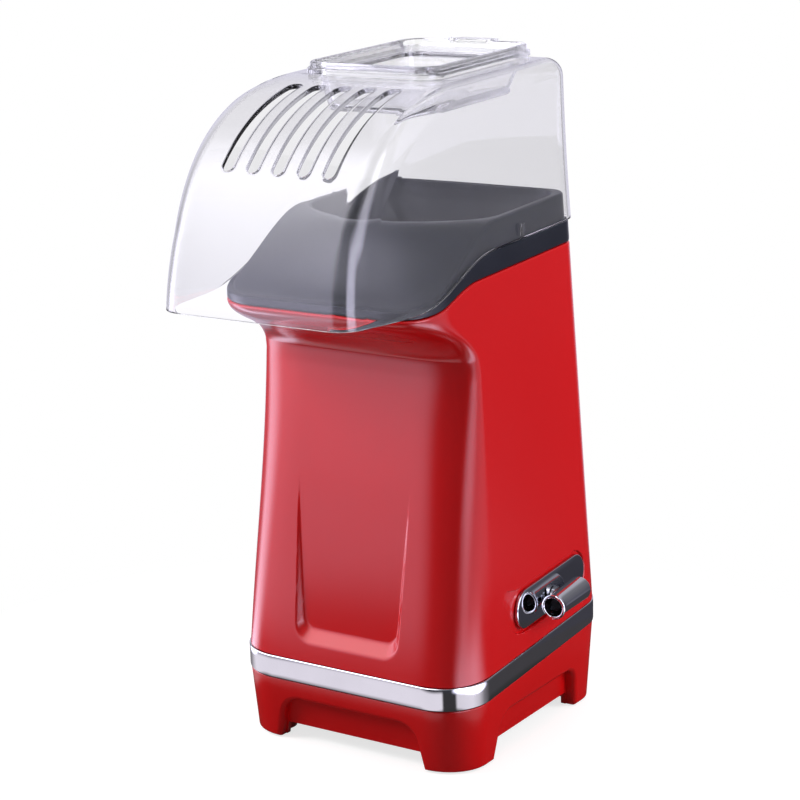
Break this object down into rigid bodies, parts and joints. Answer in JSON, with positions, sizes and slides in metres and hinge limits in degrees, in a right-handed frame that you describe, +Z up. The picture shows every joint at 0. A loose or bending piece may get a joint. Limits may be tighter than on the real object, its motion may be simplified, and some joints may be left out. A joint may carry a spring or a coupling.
{
  "type": "popcorn maker",
  "caption": "Hot-air popcorn maker: tapering column that leans forward on legs, clear slotted chute hood, lift-out measuring cup, bowl collar, side lever switch, and fan and heater inside.",
  "frame": {"origin": "centre of the bounding box in plan, on the floor plane under the foot pads", "axes": "+Z up from the floor, -Y the front where the chute opens, +X the side with the switch"},
  "size_m": [0.131, 0.207, 0.3046],
  "materials": {
    "red_plastic": "glossy moulded plastic",
    "charcoal_plastic": "satin moulded plastic",
    "clear_plastic": "clear polished plastic",
    "chrome_trim": "polished plating",
    "mirror_plate": "polished plating",
    "aluminium_sheet": "plain drawn sheet",
    "steel": "plain sheet and turned steel",
    "black_plastic": "fine satin",
    "white_plastic": "satin",
    "black_rubber": "matte",
    "red_silicone": "matte",
    "mica_board": "plain pressed sheet",
    "heater_wire": "drawn wire",
    "circuit_board": "lacquered board",
    "wire_white": "wire sleeve",
    "wire_red": "wire sleeve",
    "wire_blue": "wire sleeve"
  },
  "bodies": {
    "housing": {"chute_collar": "charcoal_plastic", "body_shell": "red_plastic", "chrome_band": "chrome_trim", "base_skirt": "red_plastic", "switch_plate": "mirror_plate", "rotary_switch": "black_plastic", "switch_nut": "steel", "popping_chamber": "aluminium_sheet", "chamber_seal": "red_silicone", "heat_shield": "steel", "heater_frame": "mica_board", "heater_coil_1": "heater_wire", "heater_coil_2": "heater_wire", "heater_coil_3": "heater_wire", "fan_housing": "black_plastic", "motor_can": "steel", "motor_end_cap": "black_plastic", "rectifier_board": "circuit_board", "rectifier_bridge": "black_plastic", "thermostat": "steel", "thermal_fuse": "white_plastic", "wire_switch_feed": "wire_white", "wire_motor_feed": "wire_red", "wire_heater_feed": "wire_blue", "wire_fuse_link": "wire_blue", "bottom_plate": "black_plastic", "cord_gland": "black_rubber", "terminal_block": "white_plastic", "foot_pad_front_left": "black_rubber", "foot_pad_front_right": "black_rubber", "foot_pad_back_left": "black_rubber", "foot_pad_back_right": "black_rubber", "base_screw_front_left": "steel", "base_screw_front_right": "steel", "base_screw_back_left": "steel", "base_screw_back_right": "steel"},
    "hood": {"hood": "clear_plastic"},
    "cup": {"measuring_cup": "clear_plastic"},
    "switch_knob": {"switch_handle": "chrome_trim", "switch_neck": "chrome_trim"},
    "fan": {"fan_impeller": "aluminium_sheet", "motor_shaft": "steel"}
  },
  "joints": [
    {"name": "hood_lift", "type": "slide", "parent": "housing", "child": "hood", "axis": [0, -0.0807, 0.9967], "range_m": [0, 0.05]},
    {"name": "cup_lift", "type": "slide", "parent": "hood", "child": "cup", "axis": [0, -0.0807, 0.9967], "range_m": [0, 0.035]},
    {"name": "switch_turn", "type": "hinge", "parent": "housing", "child": "switch_knob", "pos_m": [0.05414, 0.04559, 0.06275], "axis": [1, 0, 0], "range_deg": [0, 90]},
    {"name": "fan_spin", "type": "hinge", "parent": "housing", "child": "fan", "pos_m": [-0.00586, 0.03669, 0.09825], "axis": [0, -0.0807, 0.9967], "continuous": true}
  ]
}
